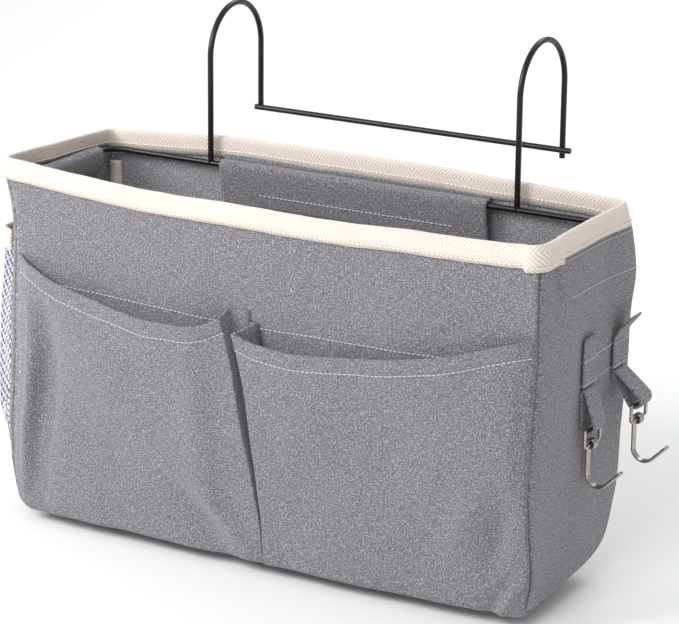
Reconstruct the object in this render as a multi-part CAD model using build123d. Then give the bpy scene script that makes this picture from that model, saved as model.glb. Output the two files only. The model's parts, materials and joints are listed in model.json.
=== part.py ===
from build123d import *
import os
from math import cos, radians, sin

# A fabric caddy that hangs inside a bunk or beside a bed: an open-topped box bag on a bent wire frame.
# Millimetres. X runs along the bag, -Y is its front with the two pockets, +Y its back, +Z is up.
# The origin is the middle of the bag's base, on the underside of the bottom panel.

# --- driving sizes of the bag ---
bag_width = 350.0
bag_depth = 110.0
bag_height = 213.0
wall = 1.6  # lined cotton-linen canvas
tape = 0.8  # herringbone binding tape
front_corner_r = 8.0  # side outline, front bottom corner
rear_corner_r = 50.0  # side outline, the soft rounded rear bottom
seam_allowance = 8.0
seam_bind_width = 6.6
seam_top = 193.0  # seams inside the bag end below the wire

# --- rim binding ---
rim_outer_leg = 12.5
rim_inner_leg = 10.0

# --- wire frame ---
wire_r = 1.75
rail_gap = 2.85  # between the rail and the back panel
arm_gap = 0.4  # between an arm and the side panel
rail_bend_r = 12.0
arm_length = 82.8  # from the rail's centre line to the arm's tip
bed_hook_x = (-97.7, 108.5)
bed_hook_leg = 64.4  # straight leg from the rail up to the arch
bed_arch_r = 29.1
bed_hook_tail = 42.5  # straight part of the down leg
tail_past_bar = (1.75, 5.5)  # how far each down leg runs past the cross bar
bar_past_leg = (1.75, 6.7)  # how far the cross bar runs past each down leg
weld_depth = 0.3

# --- tunnels for the arms, inside the side panels ---
tunnel_bottom = 175.0
tunnel_cloth = 1.2
tunnel_clearance = 0.5  # around the wire
tunnel_past_tip = 3.0

# --- flap over the rail, closed with hook-and-loop ---
flap_width = 180.0
flap_cloth = 1.0
flap_bottom = 175.0
flap_clearance = 0.4  # between the wire and the flap
flap_root_gap = 0.3  # between the flap's sewn edge and the back panel
flap_under_tape = 0.35  # between the flap and the rim binding above it
flap_hinge_gap = 1.4  # hinge line to back panel
strip_width = 126.0
strip_height = 11.0
strip_thickness = 0.9
strip_gap = 0.2
strip_drop = 2.5  # the panel's strip shows this far below the flap

# --- front pockets ---
pocket_depth = 7.4
pocket_cloth = 1.2
pocket_side_inset = 3.0
pocket_seam_x = -8.0  # the seam between the two pockets
pocket_seam_half = 1.0
pocket_base_z = 1.0
pocket_end_z = 157.0  # height of the lips at the bag's outer edges
pocket_dip_z = 133.0  # lowest point of the sagging lips
pocket_mid_z = 142.0  # height of the lips at the middle seam

# --- mesh pocket, outside the left panel ---
mesh_standoff = 7.0
mesh_thickness = 0.8
mesh_edge_inset = 4.0
mesh_bottom = 40.0
mesh_top = 157.0
mesh_binding_height = 12.0

# --- webbing loops, rings and J hooks, outside the right panel ---
hanger_y = (5.0, 45.0)
hanger_lean = (0.0, 32.0)  # degrees that each free loop stands out from the panel
strap_width = 16.0
strap = 1.5
hanger_top = 147.0
hanger_stitch = 119.0
loop_gap = 0.5  # between the sewn strap and the free loop, and between loop and panel
loop_length = 20.0  # from the loop's pinched top to the centre of its round end
loop_end_r = 3.4  # inside radius of the round end
loop_belly = 7.5  # how far the outer side swells
ring_wire_r = 1.0
ring_side_gap = 0.2  # between the strap and the ring's round corners
ring_height = 12.0
ring_corner_r = 1.8
ring_play = 0.35
hook_wire_r = 0.95
hook_wire_gap = 0.3  # between the two runs of the doubled wire
hook_shank = 18.0
hook_bend_r = 7.0
hook_bend_angle = 135.0
hook_tip = 11.5
hook_eye_angle = 290.0
hook_play = 0.35

# --- places worked out from the sizes ---
side_x = bag_width / 2
front_y = -bag_depth / 2
back_y = bag_depth / 2
inner_x = side_x - wall
inner_front_y = front_y + wall
inner_back_y = back_y - wall
wall_top = bag_height - tape
flange_inset = wall + tape
flange_edge_x = inner_x - seam_allowance
rail_y = inner_back_y - rail_gap - wire_r
arm_x = inner_x - arm_gap - wire_r
rail_z = bag_height - rim_inner_leg - flap_under_tape - flap_cloth - flap_clearance - wire_r
tunnel_top = rail_z + wire_r + tunnel_clearance + tunnel_cloth
ring_width = strap_width + 2 * (ring_side_gap + ring_corner_r + ring_wire_r)
arm_tip_y = rail_y - arm_length
arch_z = rail_z + bed_hook_leg
tail_y = rail_y + 2 * bed_arch_r
tail_end_z = arch_z - bed_hook_tail
bar_z = tail_end_z + wire_r
bar_y = tail_y - 2 * wire_r + weld_depth
hinge_y = inner_back_y - flap_hinge_gap
hinge_z = rail_z + wire_r + flap_clearance + flap_cloth / 2


def block(x, y, z):
    """A box between two values on each axis."""
    return Pos(sum(x) / 2, sum(y) / 2, sum(z) / 2) * Box(x[1] - x[0], y[1] - y[0], z[1] - z[0])


def side_outline(inset, top):
    """The bag's outline seen from its side, moved inward by inset, as a face in the YZ plane."""
    front, back, base = front_y + inset, back_y - inset, inset
    front_r, rear_r = front_corner_r - inset, rear_corner_r - inset
    half = 0.5**0.5
    front_mid = (front + front_r * (1 - half), base + front_r * (1 - half))
    rear_mid = (back - rear_r * (1 - half), base + rear_r * (1 - half))
    edge = (
        Line((front, top), (front, base + front_r))
        + ThreePointArc((front, base + front_r), front_mid, (front + front_r, base))
        + Line((front + front_r, base), (back - rear_r, base))
        + ThreePointArc((back - rear_r, base), rear_mid, (back, base + rear_r))
        + Line((back, base + rear_r), (back, top))
        + Line((back, top), (front, top))
    )
    return Plane.YZ * make_face(edge)


def band(x, insets, top):
    """Cloth that follows the front, base and back, between two insets and two values of X."""
    face = side_outline(insets[0], top) - side_outline(insets[1], top)
    return Pos(x[0], 0, 0) * extrude(face, x[1] - x[0])


def frame_ring(outside, inside, z):
    """A rectangular ring around the bag's mouth; each size is how far it stands out from the bag."""
    big = block((-side_x - outside, side_x + outside), (front_y - outside, back_y + outside), z)
    return big - block((-side_x - inside, side_x + inside), (front_y - inside, back_y + inside), z)


def tube(path, radius):
    """Round wire along a path."""
    return sweep(Plane(path @ 0, z_dir=path % 0) * Circle(radius), path=path)


def mirrored_pair(part):
    """A right-hand piece and its left-hand twin."""
    return part, part.mirror(Plane.YZ)


# --- the five panels ---
def panels():
    body = band((-inner_x, inner_x), (0, wall), wall_top)
    front_end = front_y + front_corner_r
    front = body & block((-side_x, side_x), (front_y, front_end), (0, bag_height))
    base = body & block((-side_x, side_x), (front_end, back_y), (0, rear_corner_r))
    back = body & block((-side_x, side_x), (0, back_y), (rear_corner_r, bag_height))
    allowance = block(base_seam_x(), (front_end, front_end + wall), (wall, wall + seam_allowance))
    sheet = Pos(inner_x, 0, 0) * extrude(side_outline(0, wall_top), wall)
    right, left = mirrored_pair(sheet + side_flange())
    return {
        "front_panel": front,
        "bottom_panel": base + allowance,
        "back_panel": back,
        "left_side_panel": left,
        "right_side_panel": right,
    }


def side_flange():
    """The right panel's seam allowance, turned in along the front, base and back."""
    return band((flange_edge_x, inner_x), (flange_inset, flange_inset + wall), seam_top)


def base_seam_x():
    """The stretch of the front base seam between the two side seams."""
    reach = flange_edge_x - 2 * tape
    return (-reach, reach)


# --- tapes over the rim and the inside seams ---
def bindings():
    outer_leg = frame_ring(tape, 0, (bag_height - rim_outer_leg, wall_top))
    inner_leg = frame_ring(-wall, -wall - tape, (bag_height - rim_inner_leg, wall_top))
    cap = frame_ring(tape, -wall - tape, (wall_top, bag_height))
    start = flange_edge_x - tape
    folded = band((start, start + seam_bind_width), (wall, flange_inset + wall + tape), seam_top)
    right, left = mirrored_pair(folded - side_flange())
    fold_y = front_y + front_corner_r
    fin_y, allowance_y = (fold_y - tape, fold_y + wall + tape), (fold_y, fold_y + wall)
    fin = block(base_seam_x(), fin_y, (wall, wall + seam_allowance + tape))
    fin -= block(base_seam_x(), allowance_y, (0, wall + seam_allowance))
    return {
        "rim_binding": cap + outer_leg + inner_leg,
        "left_seam_binding": left,
        "right_seam_binding": right,
        "base_seam_binding": fin - band(base_seam_x(), (0, wall), wall_top),
    }


# --- the wire frame: a rail with two arms, two bed hooks and a cross bar ---
def wire_frame():
    corners = [
        (-arm_x, arm_tip_y, rail_z),
        (-arm_x, rail_y, rail_z),
        (arm_x, rail_y, rail_z),
        (arm_x, arm_tip_y, rail_z),
    ]
    rail = tube(FilletPolyline(*corners, radius=rail_bend_r), wire_r)
    bar_x = (bed_hook_x[0] - bar_past_leg[0], bed_hook_x[1] + bar_past_leg[1])
    bar = tube(Line((bar_x[0], bar_y, bar_z), (bar_x[1], bar_y, bar_z)), wire_r)
    nodes = {"frame_rail": rail, "cross_bar": bar}
    for side, x, past in zip(("left", "right"), bed_hook_x, tail_past_bar):
        bottom = bar_z - past
        path = (
            Line((x, rail_y, rail_z), (x, rail_y, arch_z))
            + ThreePointArc((x, rail_y, arch_z), (x, rail_y + bed_arch_r, arch_z + bed_arch_r), (x, tail_y, arch_z))
            + Line((x, tail_y, arch_z), (x, tail_y, bottom))
        )
        nodes[f"bed_hook_{side}"] = tube(path, wire_r) - rail - bar
    return nodes


# --- strips sewn inside the side panels, which hold the frame's arms ---
def tunnels():
    hollow_x = arm_x - wire_r - tunnel_clearance
    length_y = (arm_tip_y - tunnel_past_tip, rail_y - rail_bend_r - tunnel_clearance)
    shell = block((hollow_x - tunnel_cloth, inner_x), length_y, (tunnel_bottom, tunnel_top))
    hollow_y = (length_y[0] + tunnel_cloth, length_y[1])
    hollow_z = (tunnel_bottom + tunnel_cloth, tunnel_top - tunnel_cloth)
    right, left = mirrored_pair(shell - block((hollow_x, inner_x), hollow_y, hollow_z))
    return {"left_arm_tunnel": left, "right_arm_tunnel": right}


# --- the flap that wraps the rail, and its hook-and-loop strips ---
def rail_flap():
    bend_r = wire_r + flap_clearance + flap_cloth / 2
    face_y = inner_back_y - 2 * strip_thickness - strip_gap - flap_cloth / 2
    half = 0.5**0.5
    middle = (
        Line((inner_back_y - flap_root_gap, hinge_z), (rail_y, hinge_z))
        + ThreePointArc((rail_y, hinge_z), (rail_y - bend_r * half, rail_z + bend_r * half), (rail_y - bend_r, rail_z))
        + Line((rail_y - bend_r, rail_z), (rail_y - bend_r, rail_z - bend_r))
        + Line((rail_y - bend_r, rail_z - bend_r), (face_y, rail_z - 4 * bend_r))
        + Line((face_y, rail_z - 4 * bend_r), (face_y, flap_bottom))
    )
    section = trace(middle, line_width=flap_cloth)
    flap_edge = flap_width / 2
    flap = Pos(-flap_edge, 0, 0) * extrude(Plane.YZ * section, flap_width)
    strip_x = (-strip_width / 2, strip_width / 2)
    back_of_flap = face_y + flap_cloth / 2
    hook_y = (back_of_flap, back_of_flap + strip_thickness)
    loop_y = (inner_back_y - strip_thickness, inner_back_y)
    loop_bottom = flap_bottom - strip_drop
    return {
        "rail_flap": flap,
        "flap_hook_strip": block(strip_x, hook_y, (flap_bottom, flap_bottom + strip_height)),
        "panel_loop_strip": block(strip_x, loop_y, (loop_bottom, loop_bottom + strip_height)),
    }


# --- the two front pockets, whose lips sag between their ends ---
def front_pockets():
    ends = {
        "left": (-side_x + pocket_side_inset, pocket_seam_x - pocket_seam_half),
        "right": (side_x - pocket_side_inset, pocket_seam_x + pocket_seam_half),
    }
    nodes = {}
    for side, (outer, inner) in ends.items():
        dip = outer + 0.62 * (inner - outer)
        lip = Spline((outer, pocket_end_z), (dip, pocket_dip_z), (inner, pocket_mid_z))
        edge = lip + Polyline((inner, pocket_mid_z), (inner, pocket_base_z), (outer, pocket_base_z), (outer, pocket_end_z))
        shell = Pos(0, front_y, 0) * extrude(Plane.XZ * make_face(edge), pocket_depth)
        hollow_x = sorted((outer, inner))
        hollow_x = (hollow_x[0] + pocket_cloth, hollow_x[1] - pocket_cloth)
        hollow_y = (front_y - pocket_depth + pocket_cloth, front_y)
        hollow = block(hollow_x, hollow_y, (pocket_base_z + pocket_cloth, bag_height))
        nodes[f"front_pocket_{side}"] = shell - hollow
    return nodes


# --- the mesh pocket on the left panel ---
def mesh_pocket():
    y = (front_y + mesh_edge_inset, back_y - mesh_edge_inset)
    outer = -side_x - mesh_standoff
    shell = block((outer, -side_x), y, (mesh_bottom, mesh_top))
    inside_y = (y[0] + mesh_thickness, y[1] - mesh_thickness)
    shell -= block((outer + mesh_thickness, -side_x), inside_y, (mesh_bottom + mesh_thickness, mesh_top))
    binding_z = (mesh_top, mesh_top + mesh_binding_height)
    binding = block((outer, -side_x), y, binding_z)
    binding -= block((outer + 2 * tape, -side_x), (y[0] + 2 * tape, y[1] - 2 * tape), binding_z)
    return {"mesh_pocket": shell, "mesh_pocket_binding": binding}


# --- one hanger: a sewn strap, its free loop, a ring and a J hook of doubled wire ---
def hanger(name, y, lean):
    strap_y = (y - strap_width / 2, y + strap_width / 2)
    sewn = block((side_x, side_x + 2 * strap), strap_y, (hanger_stitch, hanger_top))
    pivot_x, pivot_z = hanger_pivot()

    end_x, end_z = loop_end_r, -loop_length
    hole = make_face(
        Line((0, 0), (0, end_z))
        + ThreePointArc((0, end_z), (end_x, end_z - loop_end_r), (2 * end_x, end_z))
        + ThreePointArc((2 * end_x, end_z), (loop_belly, 0.62 * end_z), (0, 0))
    )
    profile = offset(hole, amount=strap, kind=Kind.ARC) - hole
    loop = extrude(Plane.XZ * profile, strap_width / 2, both=True)
    loop = Pos(pivot_x, y, pivot_z) * Rot(0, -lean, 0) * loop

    bar_x, bar_z = ring_bar(lean)
    reach = ring_width / 2 - ring_wire_r
    drop = ring_height - 2 * ring_wire_r
    corners = [(bar_x, y - reach, bar_z), (bar_x, y + reach, bar_z)]
    corners += [(bar_x, y + reach, bar_z - drop), (bar_x, y - reach, bar_z - drop)]
    ring = tube(FilletPolyline(*corners, radius=ring_corner_r, close=True), ring_wire_r)

    hook = Pos(bar_x, y, bar_z - drop) * j_hook()
    return {
        f"{name}_strap": sewn,
        f"{name}_loop": loop,
        f"{name}_ring": ring,
        f"{name}_hook": hook,
    }


def hanger_pivot():
    """Where a loop folds, as X and Z: its pinched top, just below the sewn strap."""
    return side_x + loop_gap + strap, hanger_stitch - loop_gap - strap


def ring_bar(lean):
    """Centre of the ring's upper bar, which lies in the lowest part of the loop's round end."""
    pivot_x, pivot_z = hanger_pivot()
    turn = radians(lean)
    end_x = pivot_x + loop_end_r * cos(turn) + loop_length * sin(turn)
    end_z = pivot_z + loop_end_r * sin(turn) - loop_length * cos(turn)
    return end_x, end_z - loop_end_r + ring_wire_r + ring_play


def j_hook():
    """A J hook whose eye turns on the origin; its shank hangs down and its mouth opens to +X."""
    eye_r = ring_wire_r + hook_play + hook_wire_r
    turn = radians(hook_eye_angle)
    eye_end = (-eye_r * cos(turn), eye_r * sin(turn))
    eye_mid = (-eye_r * cos(turn / 2), eye_r * sin(turn / 2))
    bend = radians(hook_bend_angle)
    bend_x, bend_z = hook_bend_r - eye_r, -hook_shank
    low = (bend_x - hook_bend_r * cos(bend / 2), bend_z - hook_bend_r * sin(bend / 2))
    out = (bend_x - hook_bend_r * cos(bend), bend_z - hook_bend_r * sin(bend))
    tip = (out[0] + hook_tip * sin(bend), out[1] - hook_tip * cos(bend))
    path = Plane.XZ * (
        ThreePointArc(eye_end, eye_mid, (-eye_r, 0))
        + Line((-eye_r, 0), (-eye_r, bend_z))
        + ThreePointArc((-eye_r, bend_z), low, out)
        + Line(out, tip)
    )
    half_pitch = hook_wire_r + hook_wire_gap / 2
    run = tube(path, hook_wire_r)
    end = Plane((tip[0], 0, tip[1]), x_dir=(0, 1, 0), z_dir=(sin(bend), 0, -cos(bend)))
    turn_path = end * (
        ThreePointArc((-half_pitch, 0, 0), (0, 0, half_pitch), (half_pitch, 0, 0))
    )
    return Pos(0, half_pitch, 0) * run + Pos(0, -half_pitch, 0) * run + tube(turn_path, hook_wire_r)


def all_nodes():
    nodes = panels() | bindings() | wire_frame() | tunnels() | rail_flap() | front_pockets() | mesh_pocket()
    for name, y, lean in zip(("front_hanger", "rear_hanger"), hanger_y, hanger_lean):
        nodes |= hanger(name, y, lean)
    return nodes


os.makedirs("parts", exist_ok=True)
for node, shape in all_nodes().items():
    shape.label = node
    export_step(shape, f"parts/{node}.step")
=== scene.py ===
import json
import math

import bmesh
import bpy
import numpy as np
from mathutils import Matrix, Vector, noise


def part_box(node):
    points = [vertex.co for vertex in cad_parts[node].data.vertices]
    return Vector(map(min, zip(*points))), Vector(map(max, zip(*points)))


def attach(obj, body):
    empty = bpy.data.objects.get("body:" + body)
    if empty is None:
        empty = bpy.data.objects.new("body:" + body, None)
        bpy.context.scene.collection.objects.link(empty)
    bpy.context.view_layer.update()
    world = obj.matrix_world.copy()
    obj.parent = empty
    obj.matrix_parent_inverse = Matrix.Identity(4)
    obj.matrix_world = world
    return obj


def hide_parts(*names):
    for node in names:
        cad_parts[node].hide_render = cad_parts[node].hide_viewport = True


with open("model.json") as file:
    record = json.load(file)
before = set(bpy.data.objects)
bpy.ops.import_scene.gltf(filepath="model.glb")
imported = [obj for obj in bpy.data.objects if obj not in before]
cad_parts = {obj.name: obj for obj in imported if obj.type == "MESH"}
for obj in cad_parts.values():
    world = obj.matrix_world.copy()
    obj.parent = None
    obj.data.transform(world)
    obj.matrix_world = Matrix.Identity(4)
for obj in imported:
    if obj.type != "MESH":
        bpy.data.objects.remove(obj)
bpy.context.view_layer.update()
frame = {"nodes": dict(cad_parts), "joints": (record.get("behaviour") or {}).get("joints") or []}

# --- Room and camera ---
# A plain white floor with soft daylight from the upper left and front, and a long lens seen from the
# bag's front right, a little above it. Nothing here belongs to the bag.
MM = 0.001
CAMERA_AT = (812.98, -1396.89, 638.42)
CAMERA_LENS = 154.37
CAMERA_RIGHT = (0.86830977, 0.49594196, 0.00892859)
CAMERA_DOWN = (0.15515265, -0.25446066, -0.95455614)
FLOOR_DROP = 6.0
FLOOR_SIZE = 30.0


def linear(colour):
    """An sRGB hex colour as a linear RGBA tuple."""
    parts = [int(colour[i : i + 2], 16) / 255 for i in (1, 3, 5)]
    return tuple(c / 12.92 if c < 0.04045 else ((c + 0.055) / 1.055) ** 2.4 for c in parts) + (1.0,)


def add_node(tree, kind, settings=None, inputs=None):
    """Adds a node; settings are its properties, and an input is a value or another node's socket."""
    made = tree.nodes.new(kind)
    for key, value in (settings or {}).items():
        setattr(made, key, value)
    for key, value in (inputs or {}).items():
        if isinstance(value, bpy.types.NodeSocket):
            tree.links.new(value, made.inputs[key])
        else:
            made.inputs[key].default_value = value
    return made


def new_material(name, colour, roughness, **sockets):
    """A material with one Principled shader; returns the material, its tree and the shader."""
    material = bpy.data.materials.new(name)
    material.use_nodes = True
    tree = material.node_tree
    shader = tree.nodes["Principled BSDF"]
    shader.inputs["Base Color"].default_value = linear(colour)
    shader.inputs["Roughness"].default_value = roughness
    for socket, value in sockets.items():
        shader.inputs[socket].default_value = value
    return material, tree, shader


camera_data = bpy.data.cameras.new("camera")
camera_data.lens = CAMERA_LENS
camera_data.sensor_width = 36.0
camera_data.clip_end = 100.0
camera = bpy.data.objects.new("camera", camera_data)
right_axis, up_axis = Vector(CAMERA_RIGHT).normalized(), -Vector(CAMERA_DOWN).normalized()
back_axis = right_axis.cross(up_axis)
turn = Matrix((right_axis, up_axis, back_axis)).transposed().to_4x4()
camera.matrix_world = Matrix.Translation(Vector(CAMERA_AT) * MM) @ turn
bpy.context.scene.collection.objects.link(camera)
bpy.context.scene.camera = camera


def add_light(name, at, aim, size, power, colour):
    """A square soft light that looks at a point; places and sizes in metres."""
    data = bpy.data.lights.new(name, "AREA")
    data.size, data.energy, data.color = size, power, linear(colour)[:3]
    light = bpy.data.objects.new(name, data)
    light.location = at
    light.rotation_euler = (Vector(at) - Vector(aim)).to_track_quat("Z", "Y").to_euler()
    bpy.context.scene.collection.objects.link(light)


add_light("window", (-0.7, -0.75, 0.75), (-0.03, 0.0, 0.12), 0.5, 9.0, "#ffffff")
add_light("high_front", (0.1, -1.3, 1.15), (0.0, 0.0, 0.15), 0.6, 7.5, "#ffffff")
add_light("backdrop_light", (0.2, 2.2, 2.2), (0.2, 2.2, 0.0), 1.5, 42.0, "#ffffff")

world = bpy.data.worlds.new("studio")
world.use_nodes = True
world.node_tree.nodes["Background"].inputs["Color"].default_value = linear("#ffffff")
world.node_tree.nodes["Background"].inputs["Strength"].default_value = 0.62
bpy.context.scene.world = world
bpy.context.scene.view_settings.view_transform = "Standard"

paper, _, _ = new_material("white_paper_sweep", "#f6f6f6", 0.9)
floor_mesh = bpy.data.meshes.new("floor")
half = FLOOR_SIZE / 2
corners = [(-half, -half), (half, -half), (half, half), (-half, half)]
floor_mesh.from_pydata([(x, y, -FLOOR_DROP * MM) for x, y in corners], [], [(0, 1, 2, 3)])
floor_mesh.materials.append(paper)
floor = bpy.data.objects.new("floor", floor_mesh)
bpy.context.scene.collection.objects.link(floor)


# --- The box bag: five panels of canvas ---
# Grey melange cotton-linen canvas, cut as a front, a back, two sides and a base that curves up
# into the back, and sewn inside out, so that every edge shows as a turned seam. Its inner faces are a paler
# copy of the canvas, painted light inside the bag. The cloth is soft and full: it sags at the mouth,
# swells over the base and pulls in at its seams.
HALF_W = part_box("right_side_panel")[1].x / MM
FRONT_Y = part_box("right_side_panel")[0].y / MM
BACK_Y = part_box("right_side_panel")[1].y / MM
RIM_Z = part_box("rim_binding")[1].z / MM
TOP_Z = RIM_Z - 3.4  # the cut edge of the cloth, inside the folded tape
CANVAS = 1.6
REAR_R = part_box("bottom_panel")[1].z / MM
FRONT_R = 8.0
SEAM_R = 4.0  # how softly a panel turns into its seam
SEAM_INSET = SEAM_R * (1 - math.cos(math.radians(45)))
SEAM_DEPTH = 1.15
SEAM_HALF = 0.55
GRID = 2.6  # spacing of the cloth's points


def bump(value, centre, spread):
    """A smooth hill of height 1."""
    return np.exp(-(((value - centre) / spread) ** 2))


def ramp(value, low, high):
    """0 below low and 1 above high, smooth between."""
    t = np.clip((value - low) / (high - low), 0.0, 1.0)
    return t * t * (3 - 2 * t)


def folds(points, size, seed):
    """Soft uneven noise, one value for each point, with hills about size apart."""
    offset = Vector((seed * 17.3, seed * 5.7, seed * 11.9))
    return np.array([noise.noise(Vector(p) / size + offset) for p in points])


def ridge(x, z, start, end, width, height):
    """A soft fold in the cloth along a straight stretch of a wall; a negative height is a hollow."""
    dx, dz = end[0] - start[0], end[1] - start[1]
    t = np.clip(((x - start[0]) * dx + (z - start[1]) * dz) / (dx * dx + dz * dz), 0, 1)
    gap = np.hypot(x - start[0] - t * dx, z - start[1] - t * dz)
    return height * np.exp(-((gap / width) ** 2)) * (0.35 + 0.65 * np.sin(np.pi * np.clip(t, 0.05, 0.95)))


def slump(points):
    """Where a point of the neatly cut bag ends up on the soft one: sag, swell and slow folds."""
    p = np.asarray(points, float)
    shape = p.shape
    p = p.reshape(-1, 3)
    x, y, z = p[:, 0], p[:, 1], p[:, 2]
    across = x / HALF_W
    front = np.clip((BACK_Y - y) / (BACK_Y - FRONT_Y), 0.0, 1.1)
    rim = ramp(z, 0.45 * RIM_Z, RIM_Z)
    left, right = ramp(-across, 0.4, 1.0), ramp(across, 0.4, 1.0)
    mouth = front * (-4.2 * (1 - across**2)) + (1 - front) * (3.4 * (1 - across**2) - 2.6 * left)
    mouth += 1.6 * left * front
    base = (1 - ramp(z, 0.0, 70.0)) * bump(y, 8.0, 26.0) * 6.5
    dz = mouth * rim + base
    dy = -front * (8.5 * np.clip(1 - z / RIM_Z, 0, 1) ** 1.3 + 2.4 * rim * (1 - across**2))
    dy += (1 - front) * 4.0 * bump(z, 140.0, 50.0)
    full = np.sin(np.pi * np.clip(z / RIM_Z, 0, 1)) * (1 - np.clip(np.abs(y) / BACK_Y, 0, 1) ** 8)
    flare = ramp(z, 183.0, RIM_Z)
    dx = 2.0 * right * full - 7.5 * left * np.clip(full, 0, 1) ** 0.55
    dx += left * front**2 * (6.0 * (1 - flare) - 2.5 * flare) * (1 - full)
    dx += right * ramp(y, 20.0, 52.0) * (5.0 * bump(z, 172.0, 45.0) * (1 - 0.75 * ramp(z, 196.0, RIM_Z)))
    dx += left * front**2 * 2.6 * bump(z, 125.0, 60.0)
    dx -= left * 5.0 * bump(z, 193.0, 16.0) * ramp(-y, 5.0, 44.0) * (1 - np.clip(-y / BACK_Y, 0, 1) ** 10)
    dx += right * front**4 * 3.5 * bump(z, 28.0, 30.0)
    rear_swell = np.sin(np.pi * np.clip((z + 25.0) / (RIM_Z + 20.0), 0, 1))
    dy += right * (1 - front) ** 3 * 7.0 * np.clip(rear_swell, 0, 1)
    for side, radius, lift in ((-1, 19.0, 0.62), (1, 10.0, 0.5)):
        beyond = np.clip(side * x - (HALF_W - radius), 0, radius)
        rounded = (radius - np.sqrt(np.maximum(radius**2 - beyond**2, 0.0))) * lift
        low = (1 - ramp(z, 0.0, 2.2 * radius)) * ramp(front, 0.4, 1.0)
        dz += rounded * low
        dx -= side * 2.4 * low * (beyond / radius) ** 2
    loose = 1 - 0.75 * rim
    slow = [folds(p, 62.0, s) * 4.2 for s in (1, 2, 3)]
    quick = [folds(p, 23.0, s) * 1.1 for s in (4, 5, 6)]
    dx += loose * (slow[0] + quick[0]) * 0.5
    dy += loose * (slow[1] + quick[1])
    dz += 0.25 * (slow[2] + quick[2])
    hangers = right * np.exp(-(((y - 25.0) / 40.0) ** 6) - ((z - 100.0) / 60.0) ** 6)
    dx *= 1 - hangers
    dx += np.sign(x) * (np.abs(x) > HALF_W - 6) * ridge(y, z, (-36.0, 200.0), (-28.0, 168.0), 2.4, 2.4)
    moved = p + np.stack([dx, dy, dz], 1)
    return moved.reshape(shape)


def side_profile(step):
    """The bag's outline seen from its side, from the front rim down, under and up the back.
    Gives the points (y, z), their inward normals and the distance walked."""
    runs = []
    turn_front = np.linspace(0, math.pi / 2, 9)
    turn_rear = np.linspace(0, math.pi / 2, 31)
    down = np.arange(TOP_Z, FRONT_R, -step)
    runs += [((FRONT_Y, z), (1, 0)) for z in down]
    centre = (FRONT_Y + FRONT_R, FRONT_R)
    runs += [
        ((centre[0] - FRONT_R * math.cos(a), centre[1] - FRONT_R * math.sin(a)), (math.cos(a), math.sin(a)))
        for a in turn_front
    ]
    flat = np.arange(FRONT_Y + FRONT_R + step, BACK_Y - REAR_R, step)
    runs += [((y, 0.0), (0, 1)) for y in flat]
    centre = (BACK_Y - REAR_R, REAR_R)
    runs += [
        ((centre[0] + REAR_R * math.sin(a), centre[1] - REAR_R * math.cos(a)), (-math.sin(a), math.cos(a)))
        for a in turn_rear
    ]
    up = np.arange(REAR_R + step, TOP_Z, step)
    runs += [((BACK_Y, z), (-1, 0)) for z in list(up) + [TOP_Z]]
    points = np.array([r[0] for r in runs], float)
    normals = np.array([r[1] for r in runs], float)
    walked = np.concatenate([[0], np.cumsum(np.hypot(*np.diff(points, axis=0).T))])
    return points, normals, walked


def turned_edge(distance):
    """Near a panel's edge: how far its face rounds in, and how far it is drawn into the seam."""
    near = np.clip(SEAM_R - distance, 0, SEAM_R)
    rounded = SEAM_R - np.sqrt(np.maximum(SEAM_R**2 - near**2, 0))
    drawn = SEAM_DEPTH * np.exp(-(((distance - SEAM_INSET) / SEAM_HALF) ** 2))
    return rounded, drawn


def make_cloth(name, grid, uv, thickness, material, inward=1):
    """A woven piece from a grid of points in millimetres, whose outer face looks away from its wall.
    uv is in metres along the cloth. The thickness goes to the side that inward gives."""
    rows, cols = grid.shape[:2]
    verts = (grid.reshape(-1, 3) * MM).tolist()
    faces, coords = [], []
    flat_uv = np.asarray(uv).reshape(-1, 2)
    for r in range(rows - 1):
        for c in range(cols - 1):
            ring = (r * cols + c, r * cols + c + 1, (r + 1) * cols + c + 1, (r + 1) * cols + c)
            faces.append(ring if inward > 0 else ring[::-1])
    mesh = bpy.data.meshes.new(name)
    mesh.from_pydata(verts, [], faces)
    layer = mesh.uv_layers.new(name="cloth")
    for face in faces:
        coords.extend(flat_uv[list(face)].ravel())
    layer.data.foreach_set("uv", coords)
    mesh.shade_smooth()
    mesh.materials.append(material)
    piece = bpy.data.objects.new(name, mesh)
    bpy.context.scene.collection.objects.link(piece)
    if thickness:
        wall = piece.modifiers.new("thickness", "SOLIDIFY")
        wall.thickness, wall.offset, wall.use_even_offset = thickness * MM, -1.0, False
    return piece


def set_relief(tree, shader, height, strength, depth):
    """Gives a shader a relief; depth is in millimetres."""
    bumps = {"Height": height, "Strength": strength, "Distance": depth * MM}
    tree.links.new(add_node(tree, "ShaderNodeBump", None, bumps).outputs[0], shader.inputs["Normal"])


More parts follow.
